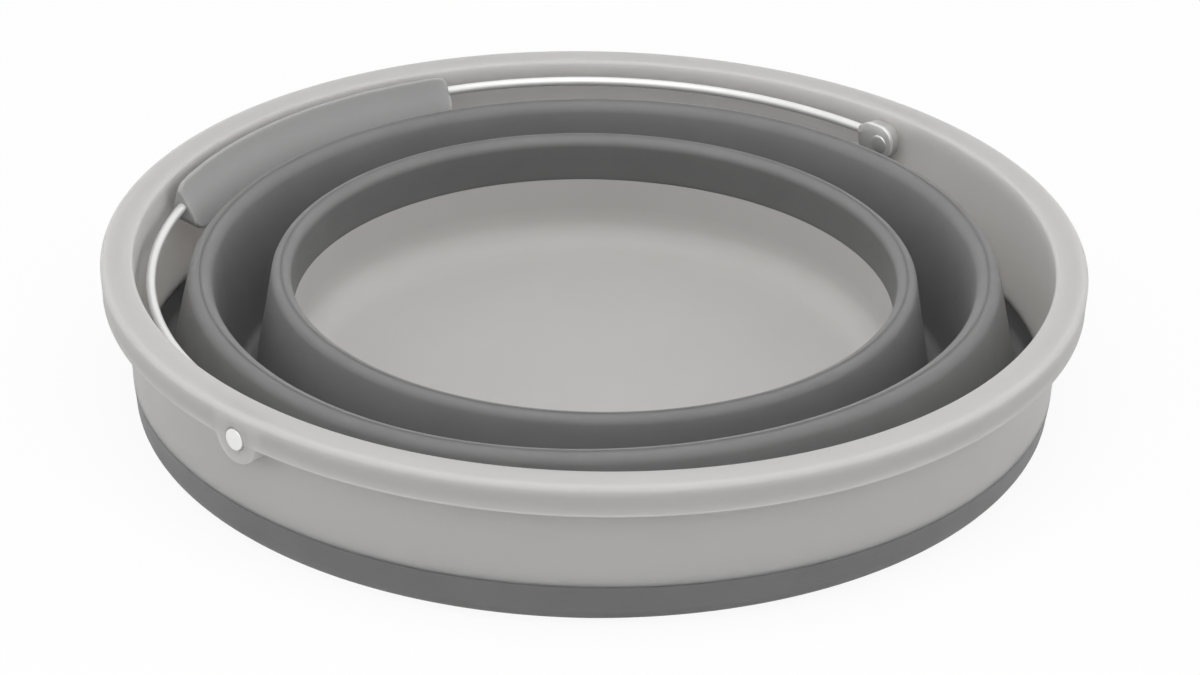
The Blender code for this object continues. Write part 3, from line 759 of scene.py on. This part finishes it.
def outer_band_outline():
    """Outline of the band from the outer fold up to the ring."""
    fold = OUTER_FOLD
    half = BELLOWS_THICKNESS / 2.0
    seam = rim_foot_height()
    outer = RIM_FOOT_RADIUS + RIM_WALL_THICKNESS
    centre = (fold[0] + HINGE_FLAT, fold[1])
    outline = [(fold[0], fold[1] - fold[2] - half)]
    outline += points_on_arc(centre, fold[2] + half, -90, 0)
    outline += [(outer, seam - SEAM_EDGE), (outer - SEAM_EDGE, seam)]
    outline += [(RIM_FOOT_RADIUS + SEAM_EDGE, seam), (RIM_FOOT_RADIUS, seam - SEAM_EDGE)]
    outline += points_on_arc(centre, fold[2] - half, 0, -90)
    outline += [(fold[0], fold[1] - fold[2] + half)]
    return outline


def dish_top_height():
    """Height of the seam between the bellows and the dish."""
    return INNER_CREST[1] - BASE_BAND_DROP


def base_band_outline():
    """Outline of the band from the inner crest down to the dish."""
    crest = INNER_CREST
    half = BELLOWS_THICKNESS / 2.0
    inner = BASE_RADIUS - DISH_WALL_THICKNESS
    seam = dish_top_height()
    centre = (crest[0] - HINGE_FLAT, crest[1])
    outline = [(crest[0], crest[1] + crest[2] + half)]
    outline += points_on_arc(centre, crest[2] + half, 90, 180)
    outline += [(inner, seam + SEAM_EDGE), (inner + SEAM_EDGE, seam)]
    outline += [(BASE_RADIUS - SEAM_EDGE, seam), (BASE_RADIUS, seam + SEAM_EDGE)]
    outline += points_on_arc(centre, crest[2] - half, 180, 90)
    outline += [(crest[0], crest[1] + crest[2] - half)]
    return outline


def smooth(value):
    """Even start and end for a value that runs from nought to one."""
    value = min(max(value, 0.0), 1.0)
    return value * value * (3.0 - 2.0 * value)


def crooked_height(radius, azimuth, height):
    """Height of a point of the soft walls, which lie a little lower on the left than on the right.

    Their outer edge is level on the left.
    """
    seam = rim_foot_height()
    below_seam = smooth((seam - height) / (seam - OUTER_FOLD_LOW.z - BELLOWS_THICKNESS))
    reach = below_seam if radius > OUTER_FOLD_RADIUS else 1.0
    spread = smooth((radius - SLOPE_START_RADIUS) / (INNER_FOLD_RADIUS - SLOPE_START_RADIUS))
    crest_top = OUTER_FOLD_HIGH.z
    near_top = smooth((height - TWIST_START_SHARE * crest_top) / (TWIST_SPAN_SHARE * crest_top))
    twist = CREST_TWIST * near_top * math.sin(2.0 * azimuth) * max(0.0, -math.sin(azimuth))
    slope = FOLD_SLOPE * math.cos(azimuth)
    if slope < 0.0:
        slope *= 1.0 - smooth((radius - OUTER_FOLD_RADIUS) / LEVEL_EDGE_WIDTH)
    rise = (slope - twist) * reach * spread
    return max(height + rise, LEAST_HEIGHT)


def make_bellows():
    """The five soft walls, from the ring inwards. The last one has painted shade on its inner side,
    darker below the inner crest's roll.
    """
    soft_grey = rubber("soft_dark_grey")
    outlines = (
        ("bellows_rim_band", outer_band_outline()),
        ("bellows_outer_wall", sloping_wall(OUTER_CREST, OUTER_FOLD)),
        ("bellows_middle_wall", sloping_wall(OUTER_CREST, INNER_FOLD)),
        ("bellows_inner_wall", sloping_wall(INNER_CREST, INNER_FOLD)),
    )
    walls = [turned(name, outline, soft_grey, crooked_height) for name, outline in outlines]
    # Painted shade: the band's inner side is darker below the inner crest's roll
    roll = INNER_CREST[1] + INNER_CREST[2]
    roll_painted_shading = ((roll - ROLL_PAINTED_SHADE_DEPTH, ROLL_PAINTED_SHADE_FACTOR), (roll, 1.0))
    inside_grey_painted_shade = rubber("soft_dark_grey_inside_painted_shade", roll_painted_shading)
    base_band = turned("bellows_dish_band", base_band_outline(), inside_grey_painted_shade)
    base_band.data.materials.append(soft_grey)
    # Faces outside the wall's middle line keep the plain rubber, and the inner ones keep the
    # painted shade
    middle_line = BASE_RADIUS - BELLOWS_THICKNESS / 2.0
    for face in base_band.data.polygons:
        if math.hypot(face.center.x, face.center.y) > middle_line:
            face.material_index = 1
    return (*walls, base_band)


# Base dish


def dish_outline():
    """Half outline of the dish: crowned floor, fillet, wall, foot ring, and the gate mark below."""
    inner = BASE_RADIUS - DISH_WALL_THICKNESS
    top = dish_top_height()
    low = DISH_LOW.z
    wall_foot = inner - DISH_WALL_DRAFT
    fillet = (wall_foot - DISH_FILLET_RADIUS, DISH_FLOOR_HEIGHT + DISH_FILLET_RADIUS)
    underside = DISH_FLOOR_HEIGHT - DISH_FLOOR_THICKNESS
    foot_outer = BASE_RADIUS - FOOT_DRAFT
    foot_flat = foot_outer - FOOT_EDGE_RADIUS
    foot_inner = foot_flat - FOOT_WIDTH
    gate_top = underside + GATE_DEPTH
    outline = []
    for step in range(10):
        share = step / 10.0
        crown = DISH_FLOOR_CROWN * (1.0 - share**2)
        outline.append((fillet[0] * share, DISH_FLOOR_HEIGHT + crown))
    outline += points_on_arc(fillet, DISH_FILLET_RADIUS, -90, 0)
    outline += [(inner, top - SEAM_EDGE), (inner + SEAM_EDGE, top)]
    outline += [(BASE_RADIUS - SEAM_EDGE, top), (BASE_RADIUS, top - SEAM_EDGE)]
    outline += points_on_arc((foot_flat, low + FOOT_EDGE_RADIUS), FOOT_EDGE_RADIUS, 0, -90)
    outline += points_on_arc((foot_inner + FOOT_CORNER, low + FOOT_CORNER), FOOT_CORNER, -90, -170)
    outline += [(foot_inner - FOOT_INNER_SLOPE, underside)]
    outline += [(GATE_RADIUS, underside), (GATE_RADIUS, gate_top), (0.0, gate_top)]
    return outline


# Bail handle


def paddle_faces():
    """Inner and outer distance of the flattened wire end from the bucket's axis."""
    outer = rim_wall_radius(PIVOT_HEIGHT) - PAD_HEIGHT - FIT_GAP
    return outer - PADDLE_THICKNESS, outer


def bail_radius():
    """Radius of the wire's middle line."""
    return paddle_faces()[1] - WIRE_RADIUS


def wire_height(angle):
    """Height of the wire's middle line in the bail's frame, highest at the back pivot."""
    return BAIL_OFFSET + BAIL_LEAN * math.cos(angle) + BAIL_TWIST * math.sin(2.0 * angle)


def bail_point(matrix, reach, angle, height):
    """Point at a distance from the bucket's axis, an angle and a height in the bail's frame."""
    return matrix @ Vector((reach * math.cos(angle), reach * math.sin(angle), height))


def make_wire():
    """Round wire with a flattened, pierced paddle at each end."""
    matrix = bail_matrix()
    radius = bail_radius()
    first = PRESS_RADIUS / radius
    ring = circle(WIRE_RADIUS, WIRE_SIDES)
    sections = []
    for step in range(WIRE_STEPS + 1):
        angle = first + (math.pi - 2.0 * first) * step / WIRE_STEPS
        height = wire_height(angle)
        sections.append([bail_point(matrix, radius + out, angle, height + up) for out, up in ring])
    wire = loft("bail_wire", sections, bright_wire)
    inner, outer = paddle_faces()
    box = rounded_box(PADDLE_HALF_LENGTH, PADDLE_HALF_HEIGHT, PADDLE_CORNER_RADIUS, 8)
    for side in (1, -1):
        rise = PADDLE_RISE if side > 0 else -FRONT_PADDLE_DROP
        outline = [(y + PADDLE_SHIFT, z + rise) for y, z in box]
        stations = [
            (inner, PADDLE_EDGE),
            (inner + 0.3 * PADDLE_EDGE, 0.3 * PADDLE_EDGE),
            (inner + PADDLE_EDGE, 0),
            (outer - PADDLE_EDGE, 0),
            (outer - 0.3 * PADDLE_EDGE, 0.3 * PADDLE_EDGE),
            (outer, PADDLE_EDGE),
        ]
        flip = Matrix.Identity(4) if side > 0 else Matrix.Scale(-1.0, 4, (1.0, 0.0, 0.0))
        paddle = plate("paddle", outline, stations, bright_wire, matrix @ flip)
        apply_boolean(wire, paddle, "UNION")
        eye_stations = [(inner - EYE_CUT_REACH, 0), (outer + EYE_CUT_REACH, 0)]
        eye = plate("eye", circle(EYE_RADIUS, EYE_STEPS), eye_stations, None, matrix @ flip)
        apply_boolean(wire, eye, "DIFFERENCE")
    wire.data.materials.append(pressed_steel)
    to_bail = matrix.inverted()
    for face in wire.data.polygons:
        if abs((to_bail @ face.center).y) < PRESS_RADIUS:
            face.material_index = 1
    return wire


def corner_trim(from_end, length, height):
    """How much a rounded corner takes off an edge at a distance from its end."""
    if from_end >= length:
        return 0.0
    share = 1.0 - from_end / length
    return height * (1.0 - math.sqrt(max(0.0, 1.0 - share * share)))


def grip_section(above, below, trim):
    """Section of the grip as (inwards, up) points.

    Its inner face leans back, and its back is bevelled below.
    """
    back = trim - GRIP_BACK + GRIP_EDGE_RADIUS
    edge = GRIP_EDGE_RADIUS
    top = (-GRIP_TOP_SET_BACK, above - edge)
    foot = (GRIP_FACE - trim - edge, edge - below)
    lean = math.degrees(math.atan2(foot[0] - top[0], top[1] - foot[1]))
    hip = GRIP_BACK_BEVEL - below
    section = points_on_arc(foot, edge, GRIP_FOOT_ANGLE, lean, GRIP_EDGE_STEPS)
    section += points_on_arc(top, edge, lean, GRIP_TOP_ANGLE, GRIP_EDGE_STEPS)
    section += points_on_arc((back, 0.0), edge, GRIP_TOP_ANGLE, 180)
    section += points_on_arc((back, hip), edge, 180, GRIP_BEVEL_ANGLE)
    return section


def make_grip():
    """Grip lofted along the wire, with rounded corners at both ends."""
    matrix = bail_matrix()
    radius = bail_radius()
    sections = []
    top_height = RIM_TOP - GRIP_BELOW_RIM_TOP - PIVOT_HEIGHT
    for step in range(GRIP_STEPS + 1):
        along = (1.0 - math.cos(math.pi * step / GRIP_STEPS)) / 2.0
        angle = math.pi / 2.0 + (GRIP_SHIFT + GRIP_LENGTH * (along - 0.5)) / radius
        from_end = min(along, 1.0 - along) * GRIP_LENGTH
        height = wire_height(angle)
        above = top_height - radius * math.sin(angle) * math.sin(BAIL_TILT) - height
        above -= corner_trim(from_end, GRIP_TOP_CORNER, GRIP_TOP_CORNER_DROP)
        below = GRIP_BELOW_WIRE
        below -= corner_trim(from_end, GRIP_LOWER_CORNER_LENGTH, GRIP_LOWER_CORNER_HEIGHT)
        trim = corner_trim(from_end, GRIP_END_ROUND, GRIP_END_TRIM)
        section = grip_section(above, below, trim)
        sections.append(
            [bail_point(matrix, radius - inwards, angle, height + up) for inwards, up in section]
        )
    return loft("bail_grip", sections, grip_grey_painted_light)


def make_rivet(name, side):
    """Rivet turned about the pivots' line: a flat outer head and a domed inner one."""
    inner_face = paddle_faces()[0] - INNER_HEAD_GAP
    outer_face = LIP_RADIUS - LIP_SKIRT_TAPER - COUNTERBORE_DEPTH
    outer_tip = outer_face + OUTER_HEAD_THICKNESS
    edge = OUTER_HEAD_EDGE
    outline = []
    for step in range(HEAD_DOME_STEPS + 1):
        turn = math.radians(90.0 * (1.0 - step / HEAD_DOME_STEPS))
        reach = INNER_HEAD_THICKNESS * math.sin(turn)
        outline.append((inner_face - reach, INNER_HEAD_RADIUS * math.cos(turn)))
    outline += [(inner_face, SHANK_RADIUS), (outer_face, SHANK_RADIUS)]
    outline += [(outer_face, OUTER_HEAD_RADIUS)]
    for step in range(HEAD_EDGE_STEPS + 1):
        turn = math.radians(90.0 * step / HEAD_EDGE_STEPS)
        reach = outer_tip - edge + edge * math.sin(turn)
        outline.append((reach, OUTER_HEAD_RADIUS - edge + edge * math.cos(turn)))
    outline.append((outer_tip, 0.0))
    matrix = pivot_matrix(side)
    vertices = []
    faces = []
    for step in range(CIRCLE_STEPS):
        turn = 2.0 * math.pi * step / CIRCLE_STEPS
        for x, radius in outline:
            vertices.append(matrix @ Vector((x, radius * math.cos(turn), radius * math.sin(turn))))
    count = len(outline)
    for step in range(CIRCLE_STEPS):
        this = step * count
        following = ((step + 1) % CIRCLE_STEPS) * count
        for i in range(count - 1):
            faces.append((this + i, this + i + 1, following + i + 1, following + i))
    rivet = make_piece(name, vertices, faces, bright_rivet)
    weld(rivet)
    return rivet


# Pieces on their bodies

rim = make_rim()
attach(rim, "rim")
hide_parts("rim_ring")

outer_band, outer_wall, middle_wall, inner_wall, base_band = make_bellows()
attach(outer_band, "rim")
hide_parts("bellows_outer_band")
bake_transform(outer_wall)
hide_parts("bellows_outer_fold")
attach(middle_wall, "middle")
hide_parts("bellows_middle_band")
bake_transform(inner_wall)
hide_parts("bellows_inner_fold")
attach(base_band, "base")
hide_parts("bellows_base_band")

dish = turned("dish_shell", dish_outline(), dish_grey_painted_shade)
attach(dish, "base")
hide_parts("base_dish")

wire = make_wire()
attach(wire, "handle")
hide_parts("handle_wire")

grip = make_grip()
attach(grip, "handle")
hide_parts("handle_grip")

for side, place in ((1, "back"), (-1, "front")):
    rivet = make_rivet("rivet_" + place, side)
    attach(rivet, "rim")
    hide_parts("pivot_rivet_" + place)


# Stage, light and camera


def seen_rays(tree):
    """One for camera, glossy and transmission rays, nought for all others."""
    path = tree.nodes.new("ShaderNodeLightPath")
    total = path.outputs["Is Camera Ray"]
    for name in ("Is Glossy Ray", "Is Transmission Ray"):
        node = tree.nodes.new("ShaderNodeMath")
        node.operation = "MAXIMUM"
        tree.links.new(total, node.inputs[0])
        tree.links.new(path.outputs[name], node.inputs[1])
        total = node.outputs["Value"]
    return total


def make_floor():
    """Pale floor that is white where it is seen and keeps some of the bucket's shadow."""
    material, tree, shader = new_material("pale_floor")
    shader.inputs["Roughness"].default_value = 0.9
    shader.inputs["Specular IOR Level"].default_value = 0.1
    seen = seen_rays(tree)
    color = mixed_color(tree, seen, (FLOOR_GREY,) * 3, (FLOOR_WHITE,) * 3)
    tree.links.new(color, shader.inputs["Base Color"])
    glow = tree.nodes.new("ShaderNodeEmission")
    glow.inputs["Strength"].default_value = 1.0
    blend = tree.nodes.new("ShaderNodeMixShader")
    share = ramp(tree, seen, 0.0, 1.0, 0.0, FLOOR_SEEN_SHARE)
    tree.links.new(share, blend.inputs["Fac"])
    tree.links.new(shader.outputs["BSDF"], blend.inputs[1])
    tree.links.new(glow.outputs["Emission"], blend.inputs[2])
    tree.links.new(blend.outputs["Shader"], tree.nodes["Material Output"].inputs["Surface"])
    mesh = bpy.data.meshes.new("floor")
    signs = ((-1, -1), (1, -1), (1, 1), (-1, 1))
    corners = [(x * FLOOR_REACH, y * FLOOR_REACH, 0.0) for x, y in signs]
    mesh.from_pydata(corners, [], [(0, 1, 2, 3)])
    mesh.materials.append(material)
    floor = bpy.data.objects.new("floor", mesh)
    floor.location = (0.0, 0.0, -FLOOR_DROP)
    bpy.context.collection.objects.link(floor)


def math_node(tree, operation, first, second, third=None):
    """Result of a sum on sockets or numbers."""
    node = tree.nodes.new("ShaderNodeMath")
    node.operation = operation
    for socket, value in zip(node.inputs, (first, second, third)):
        if value is None:
            continue
        if isinstance(value, (int, float)):
            socket.default_value = value
        else:
            tree.links.new(value, socket)
    return node.outputs["Value"]


def sky_strength(tree):
    """Strength of the sky in each direction: from both sides, from overhead and from the front."""
    direction = tree.nodes.new("ShaderNodeTexCoord").outputs["Generated"]
    parts = tree.nodes.new("ShaderNodeSeparateXYZ")
    tree.links.new(direction, parts.inputs["Vector"])
    x, y, z = (parts.outputs[axis] for axis in "XYZ")
    sides = math_node(tree, "MULTIPLY", math_node(tree, "MULTIPLY", x, x), SKY_SIDES)
    both = math_node(tree, "MULTIPLY_ADD", math_node(tree, "MULTIPLY", z, z), SKY_ZENITH, sides)
    front = math_node(tree, "MAXIMUM", math_node(tree, "MULTIPLY", y, -1.0), 0.0)
    return math_node(tree, "MULTIPLY_ADD", front, SKY_FRONT, both)


def make_world():
    """Soft studio sky, white where it is seen or mirrored."""
    world = bpy.data.worlds.new("studio")
    world.use_nodes = True
    tree = world.node_tree
    light = tree.nodes["Background"]
    light.inputs["Color"].default_value = (1.0, 1.0, 1.0, 1.0)
    tree.links.new(sky_strength(tree), light.inputs["Strength"])
    seen = tree.nodes.new("ShaderNodeBackground")
    seen.inputs["Color"].default_value = (1.0, 1.0, 1.0, 1.0)
    seen.inputs["Strength"].default_value = 1.0
    blend = tree.nodes.new("ShaderNodeMixShader")
    tree.links.new(seen_rays(tree), blend.inputs["Fac"])
    tree.links.new(light.outputs["Background"], blend.inputs[1])
    tree.links.new(seen.outputs["Background"], blend.inputs[2])
    tree.links.new(blend.outputs["Shader"], tree.nodes["World Output"].inputs["Surface"])
    bpy.context.scene.world = world


def softbox(name, location, size, power):
    """Square lamp that points at the bucket's foot."""
    data = bpy.data.lights.new(name, "AREA")
    data.shape = "SQUARE"
    data.size = size
    data.energy = power
    lamp = bpy.data.objects.new(name, data)
    lamp.location = location
    lamp.rotation_euler = (-Vector(location)).to_track_quat("-Z", "Y").to_euler()
    bpy.context.collection.objects.link(lamp)


def make_camera():
    """Camera fitted to the photographed circles of the lip, mouth, crests and dish floor."""
    elevation = math.radians(26.134)
    distance = 1.54
    yaw = 0.0015
    pitch = 0.0195
    roll = math.radians(-1.159)
    focal_length = 138.072
    centre = Vector((0.0, 0.0, RIM_TOP))
    ahead = Vector((0.0, math.cos(elevation), -math.sin(elevation)))
    right = Vector((1.0, 0.0, 0.0))
    up = Vector((0.0, math.sin(elevation), math.cos(elevation)))
    location = centre - ahead * distance
    ahead, right = (
        ahead * math.cos(yaw) + right * math.sin(yaw),
        right * math.cos(yaw) - ahead * math.sin(yaw),
    )
    ahead, up = (
        ahead * math.cos(pitch) - up * math.sin(pitch),
        up * math.cos(pitch) + ahead * math.sin(pitch),
    )
    right, up = (
        right * math.cos(roll) - up * math.sin(roll),
        up * math.cos(roll) + right * math.sin(roll),
    )
    data = bpy.data.cameras.new("camera")
    data.sensor_width = 36.0
    data.lens = focal_length
    data.clip_end = 50.0
    camera = bpy.data.objects.new("camera", data)
    axes = Matrix((right, up, -ahead)).transposed().to_4x4()
    camera.matrix_world = Matrix.Translation(location) @ axes
    bpy.context.collection.objects.link(camera)
    bpy.context.scene.camera = camera


make_floor()
make_world()
softbox("softbox_above", TOP_PLACE, TOP_SIZE, TOP_POWER)
softbox("softbox_front", FRONT_PLACE, FRONT_SIZE, FRONT_POWER)
make_camera()

settings = bpy.context.scene.view_settings
settings.view_transform = "Standard"
